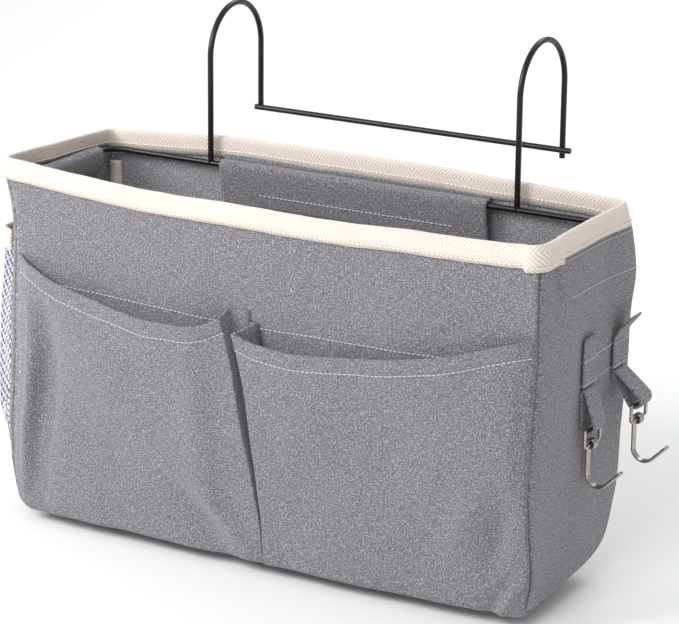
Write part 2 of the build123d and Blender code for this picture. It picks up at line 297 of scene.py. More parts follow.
def canvas_material(name, light, dark, fleck):
    """Cotton-linen canvas in plain weave, spun from mixed light and dark fibres: a salt-and-pepper
    melange with faint streaks along both thread directions and a dull, slightly fuzzy surface.
    The threads are 0.45 mm apart and drawn at 0.8 mm, so that they show."""
    sheen = {"Sheen Weight": 0.25, "Sheen Roughness": 0.6}
    material, tree, shader = new_material(name, light, 0.92, **sheen)
    shader.inputs["Specular IOR Level"].default_value = 0.18
    thread = 0.8
    place = add_node(tree, "ShaderNodeUVMap", {"uv_map": "cloth"}).outputs[0]
    in_mm = {0: place, "Scale": 1 / MM}
    scaled = add_node(tree, "ShaderNodeVectorMath", {"operation": "SCALE"}, in_mm).outputs[0]
    layers = []
    for stretch in ((0.8, 1.0, 1.0), (0.16, 1.3, 1.0), (1.3, 0.2, 1.0), (0.09, 0.2, 1.0)):
        mapped = add_node(tree, "ShaderNodeMapping", None, {"Vector": scaled, "Scale": stretch}).outputs[0]
        grain = add_node(
            tree,
            "ShaderNodeTexNoise",
            {"noise_dimensions": "2D"},
            {"Vector": mapped, "Scale": 1 / thread, "Detail": 2.0, "Roughness": 0.6},
        )
        layers.append(grain.outputs["Fac"])
    weft = add_node(tree, "ShaderNodeMath", {"operation": "ADD"}, {0: layers[1], 1: layers[2]}).outputs[0]
    streaked = {0: weft, 1: 0.32, 2: layers[0]}
    mixed = add_node(tree, "ShaderNodeMath", {"operation": "MULTIPLY_ADD"}, streaked).outputs[0]
    ramp_node = add_node(tree, "ShaderNodeValToRGB", None, {"Fac": mixed})
    bar = ramp_node.color_ramp
    bar.elements[0].position, bar.elements[0].color = 0.62, linear(dark)
    bar.elements[1].position, bar.elements[1].color = 0.96, linear(light)
    top = bar.elements.new(1.0)
    top.color = linear(fleck)
    uneven = {"Value": layers[3], "To Min": 0.89, "To Max": 1.11}
    cloud = add_node(tree, "ShaderNodeMapRange", None, uneven).outputs[0]
    clouded = {0: ramp_node.outputs["Color"], "Scale": cloud}
    colour = add_node(tree, "ShaderNodeVectorMath", {"operation": "SCALE"}, clouded).outputs[0]
    tree.links.new(colour, shader.inputs["Base Color"])
    waves = []
    for direction in ("X", "Y"):
        wave = add_node(
            tree,
            "ShaderNodeTexWave",
            {"bands_direction": direction},
            {"Vector": scaled, "Scale": 0.314 / thread, "Distortion": 0.6, "Detail": 1.0},
        )
        waves.append(wave.outputs["Fac"])
    crossing = {0: waves[0], 1: waves[1]}
    weave = add_node(tree, "ShaderNodeMath", {"operation": "MULTIPLY"}, crossing).outputs[0]
    relief = add_node(tree, "ShaderNodeMath", {"operation": "ADD"}, {0: weave, 1: layers[0]}).outputs[0]
    set_relief(tree, shader, relief, 0.55, 0.35)
    return material


canvas = canvas_material("grey_melange_canvas", "#8e8c92", "#525156", "#b0afb4")
# The panels' inner faces: the same canvas made paler, as painted light inside the bag.
inner_painted_light_canvas = canvas_material("pale_grey_canvas_painted_light", "#a9a8ad", "#6a686d", "#c6c5ca")
profile, inward_normal, walked = side_profile(GRID)


def wrap_point(x, w, proud=0.0):
    """A point on the front, base or back, by its place across the bag and the distance walked."""
    y, z = (np.interp(w, walked, profile[:, k]) for k in (0, 1))
    ny, nz = (np.interp(w, walked, inward_normal[:, k]) for k in (0, 1))
    rounded, drawn = turned_edge(HALF_W - np.abs(x))
    inset = rounded + drawn - proud
    return np.stack([x - np.sign(x) * drawn, y + ny * inset, z + nz * inset], -1)


def side_point(side, y, z, proud=0.0):
    """A point on a side panel; side is -1 for the left and 1 for the right."""
    edge = np.minimum(y - FRONT_Y, BACK_Y - y)
    to_y, to_z = np.where(y - FRONT_Y < BACK_Y - y, 1.0, -1.0), np.zeros_like(z)
    at_base = z < edge
    edge, to_y, to_z = np.where(at_base, z, edge), np.where(at_base, 0.0, to_y), np.where(at_base, 1.0, 0.0)
    for centre, radius, sign in ((BACK_Y - REAR_R, REAR_R, 1), (FRONT_Y + FRONT_R, FRONT_R, -1)):
        in_corner = ((y - centre) * sign > 0) & (z < radius)
        away = np.maximum(np.hypot(y - centre, z - radius), 1e-6)
        edge = np.where(in_corner, radius - away, edge)
        to_y = np.where(in_corner, (centre - y) / away, to_y)
        to_z = np.where(in_corner, (radius - z) / away, to_z)
    rounded, drawn = turned_edge(edge)
    x = side * (HALF_W - rounded - drawn + proud)
    return np.stack([x, y + to_y * drawn, z + to_z * drawn], -1)


def add_panel(node, points, uv, inward):
    """One of the bag's five panels: canvas outside, and on its inner face a paler copy of the canvas, painted
    light inside the bag.
    """
    panel = make_cloth(f"{node}_canvas", slump(points), uv, CANVAS, canvas, inward=inward)
    panel.data.materials.append(inner_painted_light_canvas)
    panel.modifiers["thickness"].material_offset = 1
    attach(panel, "bag")
    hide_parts(node)


front_end = TOP_Z - FRONT_R + FRONT_R * math.pi / 2
base_end = front_end + (BACK_Y - REAR_R) - (FRONT_Y + FRONT_R) + REAR_R * math.pi / 2
reach = HALF_W - SEAM_INSET
near_seam = np.array([0.0, 0.3, 0.6, 0.9, 1.2, 1.6, 2.1, 2.8])
middle_x = np.linspace(4.0 - reach, reach - 4.0, 130)
across = np.concatenate([near_seam - reach, middle_x, (reach - near_seam)[::-1]])
for node, start, end in (
    ("front_panel", 0.0, front_end),
    ("bottom_panel", front_end, base_end),
    ("back_panel", base_end, walked[-1]),
):
    steps = np.linspace(start, end, int((end - start) / GRID) + 2)
    grid_w, grid_x = np.meshgrid(steps, across, indexing="ij")
    add_panel(node, wrap_point(grid_x, grid_w), np.stack([grid_x, grid_w], -1) * MM, -1)

share = np.concatenate([near_seam / 107.0, np.linspace(0.04, 0.96, 42), 1 - near_seam[::-1] / 107.0])
rows = np.concatenate([np.linspace(0, 0.015, 6), np.linspace(0.025, 1, 76)])
low_y, high_y = FRONT_Y + SEAM_INSET, BACK_Y - SEAM_INSET
side_y = low_y + share * (high_y - low_y)
rear_in, front_in = REAR_R - SEAM_INSET, FRONT_R - SEAM_INSET
low_z = np.full_like(side_y, SEAM_INSET)
behind, ahead = side_y > BACK_Y - REAR_R, side_y < FRONT_Y + FRONT_R
low_z[behind] = REAR_R - np.sqrt(np.maximum(rear_in**2 - (side_y[behind] - BACK_Y + REAR_R) ** 2, 0))
low_z[ahead] = FRONT_R - np.sqrt(np.maximum(front_in**2 - (side_y[ahead] - FRONT_Y - FRONT_R) ** 2, 0))
grid_z = low_z[None, :] + rows[:, None] * (TOP_Z - low_z)[None, :]
grid_y = np.broadcast_to(side_y, grid_z.shape)
for side, node in ((-1, "left_side_panel"), (1, "right_side_panel")):
    uv = np.stack([grid_y * side, grid_z], -1) * MM
    add_panel(node, side_point(side, grid_y, grid_z), uv, side)


# --- The bound rim ---
# Cream cotton herringbone tape, 25 mm wide, folded over the raw edges of all four walls and sewn
# through. Its ends overlap near the right front corner, where a second layer stands a little lower.
TAPE = 0.9
OUTER_LEG = 12.5
INNER_LEG = 10.0
RIM_CORNER_R = 6.5
LAP_FROM_Y = -34.0  # where the outer end of the tape stops on the right side


def rim_walk(step):
    """The rim seen from above: points on the walls' outer face, outward normals, distance walked."""
    places = []
    r = RIM_CORNER_R
    x0, y0, x1, y1 = -HALF_W + r, FRONT_Y + r, HALF_W - r, BACK_Y - r
    sides = (
        ((x0, FRONT_Y), (x1, FRONT_Y), (x1, y0), -90),
        ((HALF_W, y0), (HALF_W, y1), (x1, y1), 0),
        ((x1, BACK_Y), (x0, BACK_Y), (x0, y1), 90),
        ((-HALF_W, y1), (-HALF_W, y0), (x0, y0), 180),
    )
    for start, end, centre, first in sides:
        count = int(math.dist(start, end) / step)
        angle = math.radians(first)
        normal = (math.cos(angle), math.sin(angle))
        for k in range(count):
            t = k / count
            on_side = (start[0] + t * (end[0] - start[0]), start[1] + t * (end[1] - start[1]))
            places.append((on_side, normal))
        for k in range(8):
            angle = math.radians(first + 90 * k / 8)
            normal = (math.cos(angle), math.sin(angle))
            places.append(((centre[0] + r * normal[0], centre[1] + r * normal[1]), normal))
    points = np.array([p[0] for p in places])
    normals = np.array([p[1] for p in places])
    gaps = np.hypot(*(np.roll(points, -1, axis=0) - points).T)
    return points, normals, np.concatenate([[0], np.cumsum(gaps)])


def herringbone_material():
    """Unbleached cotton tape in herringbone twill, whose diagonal ribs turn back and forth and catch
    the light as a fine chevron. Warm cream and dull, with painted shade along the ribs on top of their relief.
    The ribs are 1.5 mm apart and turn every 6 mm, and are drawn at 2.3 mm and 9.5 mm, so that they show."""
    material, tree, shader = new_material("cream_herringbone_tape", "#f8ecdc", 0.9, **{"Sheen Weight": 0.2})
    shader.inputs["Specular IOR Level"].default_value = 0.15
    place = add_node(tree, "ShaderNodeUVMap", {"uv_map": "cloth"}).outputs[0]
    parts = add_node(tree, "ShaderNodeSeparateXYZ", None, {0: place}).outputs
    rib_gap, turn_gap = 2.3, 9.5
    zigzag = {0: parts[1], 1: turn_gap * MM}
    fold = add_node(tree, "ShaderNodeMath", {"operation": "PINGPONG"}, zigzag).outputs[0]
    slope = add_node(tree, "ShaderNodeMath", {"operation": "ADD"}, {0: parts[0], 1: fold}).outputs[0]
    phase = {0: slope, 1: 2 * math.pi / (rib_gap * MM)}
    turns = add_node(tree, "ShaderNodeMath", {"operation": "MULTIPLY"}, phase).outputs[0]
    rib = add_node(tree, "ShaderNodeMath", {"operation": "SINE"}, {0: turns}).outputs[0]
    fuzz = {"Vector": place, "Scale": 900.0, "Detail": 3.0}
    grain = add_node(tree, "ShaderNodeTexNoise", {"noise_dimensions": "2D"}, fuzz).outputs["Fac"]
    fuzzy = {0: grain, 1: 1.4, 2: rib}
    both = add_node(tree, "ShaderNodeMath", {"operation": "MULTIPLY_ADD"}, fuzzy).outputs[0]
    # The colour darkens along each rib: painted shade in the ribs' hollows, with some random grain.
    shade = add_node(tree, "ShaderNodeMapRange", None, {"Value": both, "From Min": -0.6, "From Max": 1.2})
    tones = {"Factor": shade.outputs[0], 6: linear("#cfc2b5"), 7: linear("#ece3da")}
    mix = add_node(tree, "ShaderNodeMix", {"data_type": "RGBA"}, tones)
    tree.links.new(mix.outputs[2], shader.inputs["Base Color"])
    set_relief(tree, shader, both, 0.6, 0.25)
    return material


def face_outward(mesh):
    """Closes a mesh where its points meet, and turns its faces outward."""
    work = bmesh.new()
    work.from_mesh(mesh)
    bmesh.ops.remove_doubles(work, verts=work.verts, dist=1e-6)
    bmesh.ops.recalc_face_normals(work, faces=work.faces)
    work.to_mesh(mesh)
    work.free()


tape_cloth = herringbone_material()
rim_points, rim_normals, rim_walked = rim_walk(2.0)
outer_face = [(0.2 + TAPE, -OUTER_LEG), (0.35 + TAPE, -8.0), (0.4 + TAPE, -3.0)]
over_top = [(0.7, -0.5), (-0.1, 0.3), (-0.9, 0.5)]
inner_face = [(-1.9, 0.2), (-2.7, -0.8), (-3.1, -3.0), (-3.0, -6.5), (-2.9, -INNER_LEG)]
under = [(-1.85, -INNER_LEG), (-1.9, -2.8), (0.15, -2.8), (0.2, -OUTER_LEG)]
section = np.array(outer_face + over_top + inner_face + under)
section_steps = np.hypot(*np.diff(np.vstack([section, section[:1]]), axis=0).T)
section_walk = np.concatenate([[0], np.cumsum(section_steps)])
count = len(rim_points)
at_corner = (rim_points[:, 0] > HALF_W - 9.0) & (rim_points[:, 1] < LAP_FROM_Y)
lap = np.where(at_corner, 1.0, 0.0)
ring_walk = rim_walked[:-1]
ruffle = 0.35 * np.sin(ring_walk / 5.1) * np.sin(ring_walk / 13.7 + 1.0)
grid = np.zeros((count + 1, len(section) + 1, 3))
uv = np.zeros((count + 1, len(section) + 1, 2))
for i in range(count + 1):
    k = i % count
    for j in range(len(section) + 1):
        out, drop = section[j % len(section)]
        swell = lap[k] * 0.9 * (1 if out > 0.2 or drop > -2.0 else 0)
        lower = 1 + 0.16 * lap[k] * (out > 0)
        if out < -1.8 and drop < -6:
            lower = 1 + 0.24 * rim_normals[k][1] ** 2
        out += swell + (ruffle[k] * 0.5 if out > 0.2 else 0)
        height = RIM_Z + drop * lower + ruffle[k] * (0.6 if drop < -9 else 0.3)
        grid[i, j] = (*(rim_points[k] + rim_normals[k] * out), height)
        uv[i, j] = (rim_walked[i] * MM, section_walk[j] * MM)
rim_piece = make_cloth("rim_binding_tape", slump(grid), uv, 0, tape_cloth, inward=-1)
face_outward(rim_piece.data)
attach(rim_piece, "bag")
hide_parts("rim_binding")


# --- Wire frame and its cross bar ---
# Mild steel wire, 3.5 mm thick, bent cold, butt-welded and powder coated satin black. It lies bare in
# the mouth of the bag, with two hooks that go over the bed's rail.
WIRE_R = 1.75
coat, tree, shader = new_material("black_powder_coat", "#0c0c0d", 0.36)
# Powder coat: satin black with the faint orange-peel dimples of a baked finish.
peel = add_node(tree, "ShaderNodeTexCoord").outputs["Object"]
pimples = {"Vector": peel, "Scale": 1400.0, "Detail": 2.0}
orange = add_node(tree, "ShaderNodeTexNoise", None, pimples).outputs["Fac"]
set_relief(tree, shader, orange, 0.18, 0.15)
dull = add_node(tree, "ShaderNodeMapRange", None, {"Value": orange, "To Min": 0.28, "To Max": 0.46})
tree.links.new(dull.outputs[0], shader.inputs["Roughness"])


def dress(node, material):
    """Gives a metal part its finish; its shape is already final."""
    part = frame["nodes"][node]
    part.data.materials.clear()
    part.data.materials.append(material)


for node in ("frame_rail", "cross_bar", "bed_hook_left", "bed_hook_right"):
    dress(node, coat)


# --- Front pockets ---
# Two patch pockets of single canvas, whose hemmed lips sag forward. The cloth is folded into a box
# pleat between them: it tucks back under each lip, lies on the front panel and is sewn down there.
POCKET_CLOTH = 1.2
HEM = 10.0


def eased(value, places, heights):
    """A smooth curve through the heights at the given places."""
    fine = np.linspace(places[0], places[-1], 301)
    line = np.interp(fine, places, heights)
    window = np.hanning(43)
    padded_line = np.concatenate([2 * line[0] - line[21:0:-1], line, 2 * line[-1] - line[-2:-23:-1]])
    return np.interp(value, fine, np.convolve(padded_line, window / window.sum(), "valid"))


def left_folds(x, z):
    """The left pocket's slack: a long fold beside the side seam and two that run to the pleat."""
    out = ridge(x, z, (-163, 128), (-164, 20), 5.5, 4.6) + ridge(x, z, (-149, 122), (-150, 26), 7.5, -6.0)
    out += ridge(x, z, (-159, 16), (-151, 3), 6.0, -4.0) + ridge(x, z, (-120, 110), (-60, 62), 16.0, 1.8)
    out += ridge(x, z, (-36, 46), (-2, 8), 6.5, 3.6) + ridge(x, z, (-52, 40), (-18, 6), 8.0, -3.2)
    return out + ridge(x, z, (-40, 120), (-26, 40), 9.0, 1.6)


def right_folds(x, z):
    """The right pocket's slack: a fold up from its lower corner and a pucker at the corner."""
    out = ridge(x, z, (146, 72), (128, 34), 8.0, 3.2) + ridge(x, z, (162, 66), (150, 22), 6.5, -3.4)
    out += ridge(x, z, (171, 22), (158, 2), 3.0, 3.0) + ridge(x, z, (164, 26), (152, 4), 3.6, -3.2)
    return out + ridge(x, z, (60, 96), (20, 70), 18.0, 1.4) + ridge(x, z, (156, 150), (150, 120), 8.0, 1.2)


POCKETS = {
    "left": {
        "outer": -HALF_W + SEAM_INSET + 0.3,
        "lip": ((-174, -166, -142, -103, -71, -41, -28, -18), (158, 155, 147, 142, 137, 138.5, 142.5, 148)),
        "stand": ((-174, -166, -150, -120, -34, -18), (1.2, 2.6, 5.2, 8.4, 11.6, 9.6)),
        "fold": ((0, 20, 45, 70, 90, 110, 140, 160), (9.6, 7.2, 4.4, 0.2, -5.4, -10.4, -17.5, -20.0)),
        "back": ((0, 60, 110, 160), (9.9, 2.6, -10.0, -20.4)),
        "seam": ((0, 60, 160), (10.4, 5.6, -6.0)),
        "folds": left_folds,
    },
    "right": {
        "outer": HALF_W - SEAM_INSET - 0.3,
        "lip": ((-14, 6, 31, 81, 124, 153, 166, 174), (142.5, 136, 133.5, 139.5, 147, 156, 159.5, 161)),
        "stand": ((-14, 8, 30, 80, 120, 150, 166, 174), (14.0, 12.6, 11.2, 9.8, 8.2, 6.4, 4.4, 2.4)),
        "fold": ((0, 20, 45, 70, 90, 110, 140, 160), (10.2, 9.4, 8.6, 6.8, 4.0, 1.2, -6.4, -10.8)),
        "back": ((0, 60, 110, 160), (11.2, 10.0, 6.6, -1.0)),
        "seam": ((0, 60, 160), (10.6, 6.2, -5.4)),
        "folds": right_folds,
    },
}


def pocket_stand(cut, x, z, top):
    """How far the pocket's front stands off the panel."""
    height = np.clip(z / top, 0, 1)
    out = eased(x, *cut["stand"]) * (0.24 + 0.76 * height**0.6) + cut["folds"](x, z)
    below = top - z
    out += 0.6 * (1 - ramp(below, HEM - 1.5, HEM + 0.5)) - 0.5 * bump(below, HEM, 1.1)
    edge = np.clip((HALF_W - SEAM_INSET - np.abs(x)) / 9.0, 0, 1) * np.clip((z + 1.0) / 5.0, 0, 1)
    return np.maximum(out * edge**0.6, 0.15) + POCKET_CLOTH * (0.35 + 0.65 * edge)


def pocket_grid(cut, heights):
    """The pocket's outer face as a grid of points, with the cloth's own coordinates."""
    ends = np.linspace(0, 0.05, 10), np.linspace(0.978, 1, 6)
    sheet = np.concatenate([ends[0], np.linspace(0.06, 0.97, 70), ends[1]])
    inward = np.sign(-cut["outer"])
    grid, uv = [], []
    for v in heights:
        guess = 150.0 * v
        fold_x = float(eased(guess, *cut["fold"]))
        x = cut["outer"] + sheet * (fold_x - cut["outer"])
        top = eased(x, *cut["lip"])
        z = -1.0 + v * (top + 1.0)
        stand = pocket_stand(cut, x, z, top)
        back_x, seam_x = float(eased(guess, *cut["back"])), float(eased(guess, *cut["seam"]))
        rise = 3.5 * v
        inside = np.array([0.12, 0.3, 0.55, 0.8, 1.0])
        behind = np.array([0.34, 0.67, 1.0])
        x = np.concatenate([x, fold_x + inside * (back_x - fold_x) + 0.5 * np.sin(np.pi * inside) * inward])
        x = np.concatenate([x, back_x + behind * (seam_x - back_x)])
        flat_stand = 0.5 + POCKET_CLOTH
        tucked = stand[-1] + inside * (flat_stand - stand[-1])
        stand = np.concatenate([stand, tucked, flat_stand - 0.3 * behind])
        z = np.concatenate([z, z[-1] + rise * inside, np.full(3, z[-1] + rise)])
        step = np.hypot(np.diff(x), np.diff(stand))
        along = np.concatenate([[0], np.cumsum(step)]) * inward + cut["outer"]
        grid.append(wrap_point(x, TOP_Z - z, stand))
        uv.append(np.stack([along, z], 1) * MM)
    return np.array(grid), np.array(uv)


heights = np.concatenate([np.linspace(0, 0.9, 52), np.linspace(0.91, 1.0, 12)])
for side, cut in POCKETS.items():
    grid, uv = pocket_grid(cut, heights)
    facing = 1 if side == "left" else -1
    pocket = make_cloth(f"front_pocket_{side}_canvas", slump(grid), uv, POCKET_CLOTH, canvas, inward=facing)
    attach(pocket, "bag")
    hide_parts(f"front_pocket_{side}")


# --- Mesh side pocket ---
# A pocket of knotted polyester mesh on the left side, sewn down round three edges and bound along its
# mouth with the same cream tape. The yarns cross in diamonds 6 mm high, with open holes between.
MESH_LOW, MESH_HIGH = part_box("mesh_pocket")[0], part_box("mesh_pocket")[1]
MESH_Y = (MESH_LOW.y / MM, MESH_HIGH.y / MM)
MESH_Z = (MESH_LOW.z / MM, MESH_HIGH.z / MM)
MESH_OUT = -HALF_W - MESH_LOW.x / MM
DIAMOND = (4.2, 6.0)  # across and up
YARN = 0.5  # radii of a yarn and of the knot at a crossing
KNOT = 0.75


def mesh_place(y, z, extra=0.0):
    """A point of the mesh pocket's sheet, which swells off the panel between its sewn edges."""
    edge = np.minimum(y - MESH_Y[0], MESH_Y[1] - y)
    stand = (MESH_OUT + 0.5) * ramp(edge, -1.5, 6.0) * ramp(z - MESH_Z[0], -2.0, 22.0)
    flat = side_point(-1, y, z, 0.5 + extra)
    flat[..., 0] -= stand
    return slump(flat)


def open_tree(name, source, sizes, result):
    """A new Geometry Nodes tree with its named sockets; returns the tree and its inputs."""
    tree = bpy.data.node_groups.new(name, "GeometryNodeTree")
    tree.interface.new_socket(source, in_out="INPUT", socket_type="NodeSocketGeometry")
    for size in sizes:
        tree.interface.new_socket(size, in_out="INPUT", socket_type="NodeSocketFloat")
    tree.interface.new_socket(result, in_out="OUTPUT", socket_type="NodeSocketGeometry")
    return tree, add_node(tree, "NodeGroupInput").outputs


def close_tree(tree, pieces, material):
    """Ends a tree: its instances made real, and its material set."""
    real = add_node(tree, "GeometryNodeRealizeInstances", None, {0: pieces}).outputs[0]
    done = add_node(tree, "GeometryNodeSetMaterial", None, {0: real, "Material": material}).outputs[0]
    add_node(tree, "NodeGroupOutput", None, {0: done})
    return tree


def yarn_tree(material):
    """Geometry Nodes: turns a net of edges into round yarns, with a small knot at each crossing."""
    tree, start = open_tree("knotted_yarns", "Net", ("Yarn radius", "Knot radius"), "Yarns")
    lines = add_node(tree, "GeometryNodeMeshToCurve", None, {0: start[0]}).outputs[0]
    circle = {"Resolution": 4, "Radius": start[1]}
    round_section = add_node(tree, "GeometryNodeCurvePrimitiveCircle", None, circle).outputs[0]
    yarns = add_node(tree, "GeometryNodeCurveToMesh", None, {0: lines, 1: round_section}).outputs[0]
    ball = {"Radius": start[2], "Subdivisions": 1}
    knot = add_node(tree, "GeometryNodeMeshIcoSphere", None, ball).outputs[0]
    spots = add_node(tree, "GeometryNodeMeshToPoints", None, {0: start[0]}).outputs[0]
    knots = add_node(tree, "GeometryNodeInstanceOnPoints", None, {"Points": spots, "Instance": knot})
    joined = add_node(tree, "GeometryNodeJoinGeometry", None, {0: yarns})
    tree.links.new(knots.outputs[0], joined.inputs[0])
    return close_tree(tree, joined.outputs[0], material)


def run_tree(name, source, tree, values):
    """Evaluates a Geometry Nodes tree on an object and returns the result as a plain piece."""
    step = source.modifiers.new("nodes", "NODES")
    step.node_group = tree
    sockets = {item.name: item.identifier for item in tree.interface.items_tree if item.in_out == "INPUT"}
    for key, value in values.items():
        step[sockets[key]] = value
    bpy.context.view_layer.update()
    graph = bpy.context.evaluated_depsgraph_get()
    mesh = bpy.data.meshes.new_from_object(source.evaluated_get(graph), depsgraph=graph)
    mesh.name = name
    source.modifiers.remove(step)
    bpy.data.objects.remove(source)
    piece = bpy.data.objects.new(name, mesh)
    bpy.context.scene.collection.objects.link(piece)
    mesh.shade_smooth()
    return piece


def two_tones(name, low, high, roughness, scale, detail, **sockets):
    """A finish whose colour wanders between two tones; scale is in hills to the metre.
    Returns the material, its tree, its shader and the noise that mixes the tones."""
    material, tree, shader = new_material(name, high, roughness, **sockets)
    place = add_node(tree, "ShaderNodeTexCoord").outputs["Object"]
    grain = {"Vector": place, "Scale": scale, "Detail": detail}
    noise_out = add_node(tree, "ShaderNodeTexNoise", None, grain).outputs["Fac"]
    tones = {"Factor": noise_out, 6: linear(low), 7: linear(high)}
    tone = add_node(tree, "ShaderNodeMix", {"data_type": "RGBA"}, tones)
    tree.links.new(tone.outputs[2], shader.inputs["Base Color"])
    return material, tree, shader, noise_out


# Spun polyester: white with a lilac cast in the hollows of its twist, a soft half-gloss.
yarn = two_tones("white_polyester_yarn", "#a3a4bc", "#ebebf4", 0.55, 900.0, 2.0, **{"Sheen Weight": 0.1})[0]

columns = int((MESH_Y[1] - MESH_Y[0]) / DIAMOND[0]) + 1
lines = int((MESH_Z[1] - MESH_Z[0]) / (DIAMOND[1] / 2)) + 1
knots, yarns, index = [], [], {}
for row in range(lines):
    for column in range(columns):
        y = MESH_Y[0] + (column + 0.5 * (row % 2)) * DIAMOND[0]
        if y <= MESH_Y[1]:
            index[row, column] = len(knots)
            knots.append((0.0, y, MESH_Z[0] + row * DIAMOND[1] / 2))
for (row, column), here in index.items():
    for aside in ((-1, 0) if row % 2 == 0 else (0, 1)):
        if (row + 1, column + aside) in index:
            yarns.append((here, index[row + 1, column + aside]))
knots = np.array(knots)
net_mesh = bpy.data.meshes.new("net")
net_mesh.from_pydata((mesh_place(knots[:, 1], knots[:, 2]) * MM).tolist(), yarns, [])
net = bpy.data.objects.new("net", net_mesh)
bpy.context.scene.collection.objects.link(net)
yarn_sizes = {"Yarn radius": YARN * MM, "Knot radius": KNOT * MM}
mesh_piece = run_tree("mesh_pocket_net", net, yarn_tree(yarn), yarn_sizes)
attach(mesh_piece, "bag")
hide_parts("mesh_pocket")

band_z = np.linspace(MESH_Z[1] - 0.5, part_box("mesh_pocket_binding")[1].z / MM, 9)
band_y = np.linspace(MESH_Y[0], MESH_Y[1], 50)
grid_z, grid_y = np.meshgrid(band_z, band_y, indexing="ij")
grid = mesh_place(grid_y, grid_z, 1.2)
grid[..., 0] -= 0.35 * bump(grid_z, (band_z[0] + band_z[-1]) / 2, 4.0)
uv = np.stack([grid_y, grid_z], -1) * MM
mouth_tape = make_cloth("mesh_pocket_tape", grid, uv, 2.0, tape_cloth, inward=-1)
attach(mouth_tape, "bag")
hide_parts("mesh_pocket_binding")


# --- Inside: bound seams, arm tunnels and the base seam ---
# The raw seam allowances inside the bag are bound in cream tape, and a strip of canvas on each side
# wall makes the tunnel that holds the frame's arm.
SEAM_TAPE_DROP = 18.5  # from the rim to the tape's upper end, below the wire


def seam_tape(side):
    """The bound allowance beside a side panel, lying on the front, base and back."""
    low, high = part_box(f"{'left' if side < 0 else 'right'}_seam_binding")
    far, near = sorted((abs(low.x) / MM, abs(high.x) / MM))
    top = RIM_Z - SEAM_TAPE_DROP
    keep = profile[:, 1] <= top
    path, normal, along = profile[keep], inward_normal[keep], walked[keep]
    across_tape = [(near, 1.8), (near, 3.9), (near - 0.6, 4.5), ((far + near) / 2, 4.8)]
    across_tape += [(far + 0.5, 4.6), (far, 3.8), (far, 1.8)]
    grid = np.zeros((len(path), len(across_tape), 3))
    uv = np.zeros((len(path), len(across_tape), 2))
    for j, (x, lift) in enumerate(across_tape):
        grid[:, j, 0] = side * x
        grid[:, j, 1:] = path + normal * lift
        uv[:, j] = np.stack([along, np.full(len(along), x + lift)], 1) * MM
    return grid, uv


for side, word in ((-1, "left"), (1, "right")):
    grid, uv = seam_tape(side)
    binding = make_cloth(f"{word}_seam_tape", slump(grid), uv, 0.5, tape_cloth, inward=side)
    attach(binding, "bag")
    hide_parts(f"{word}_seam_binding")

    low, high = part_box(f"{word}_arm_tunnel")
    tunnel_y = np.linspace(low.y / MM, high.y / MM, 30)
    heights_z = np.linspace(low.z / MM, high.z / MM, 22)
    grid_z, grid_y = np.meshgrid(heights_z, tunnel_y, indexing="ij")
    wire_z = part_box("frame_rail")[1].z / MM - WIRE_R
    swell = np.where(grid_z > wire_z, 1 - ((grid_z - wire_z) / (heights_z[-1] - wire_z)) ** 2, 0)
    swell = np.where(grid_z <= wire_z, ramp(grid_z, heights_z[0], wire_z - 1.5), np.sqrt(np.maximum(swell, 0)))
    grid = np.stack([np.full_like(grid_y, side * (HALF_W - CANVAS - 0.8)), grid_y, grid_z], -1)
    clear = ramp(grid_z, 178.0, 191.0)
    grid[..., 0] += (slump(grid)[..., 0] - grid[..., 0]) * (1 - clear)
    grid[..., 0] -= side * 5.0 * swell * ramp(grid_y - tunnel_y[0], 0.0, 5.0)
    uv = np.stack([grid_y, grid_z], -1) * MM
    tunnel = make_cloth(f"{word}_tunnel_canvas", grid, uv, 0.7, canvas, inward=-side)
    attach(tunnel, "bag")
    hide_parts(f"{word}_arm_tunnel")

low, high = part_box("base_seam_binding")
fold_z = high.z / MM
fin = [(low.y, 1.7), (low.y, fold_z - 0.8), ((low.y + high.y) / 2, fold_z), (high.y, fold_z - 0.8), (high.y, 1.7)]
fin_x = np.linspace(low.x / MM, high.x / MM, 90)
grid = np.array([[(x, y / MM, z) for x in fin_x] for y, z in fin])
uv = np.array([[(x * MM, k * 2.5 * MM) for x in fin_x] for k in range(len(fin))])
base_tape = make_cloth("base_seam_tape", slump(grid), uv, 0.5, tape_cloth, inward=1)
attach(base_tape, "bag")
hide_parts("base_seam_binding")


# --- Rail flap and its hook-and-loop strips ---
# A canvas flap sewn under the back rim. It wraps forward over the frame's rail and presses back onto
# the wall, where a strip of hooks behind it holds a strip of loops; a line of stitches shows on it.
FLAP_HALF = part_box("rail_flap")[1].x / MM
FLAP_CLOTH = 1.0
RAIL_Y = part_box("frame_rail")[1].y / MM - WIRE_R
RAIL_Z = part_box("frame_rail")[1].z / MM - WIRE_R
HINGE = [value / MM for value in frame["joints"][0]["pos_m"]]
FLAP_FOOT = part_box("rail_flap")[0].z / MM
WALL_Y = BACK_Y - CANVAS
FLAP_DROP = 27.0  # from the fold over the rail to the flap's foot
FLAP_WAVE = 0.7


def flap_section():
    """The flap's outer face from its hinge line over the rail and down, as points (y, z)."""
    around = WIRE_R + 0.4 + FLAP_CLOTH
    path = [(HINGE[1] + 0.6, HINGE[2] + 0.5), (RAIL_Y + 1.6, RAIL_Z + around)]
    for k in range(7):
        angle = math.radians(90 + 15 * k)
        path.append((RAIL_Y + around * math.cos(angle), RAIL_Z + around * math.sin(angle)))
    face_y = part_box("flap_hook_strip")[0].y / MM - FLAP_CLOTH
    front = RAIL_Y - around
    for t in np.linspace(0.08, 1.0, 12):
        path.append((front + t**1.15 * (face_y - front), RAIL_Z - 1.5 + t * (FLAP_FOOT - RAIL_Z + 1.5)))
    return np.array(path)


def flap_wander(x):
    """How the flap's face waves along its length, from -1 to 1."""
    return np.array([noise.noise(Vector((place / 28.0, 3.3, 0.7))) for place in x])


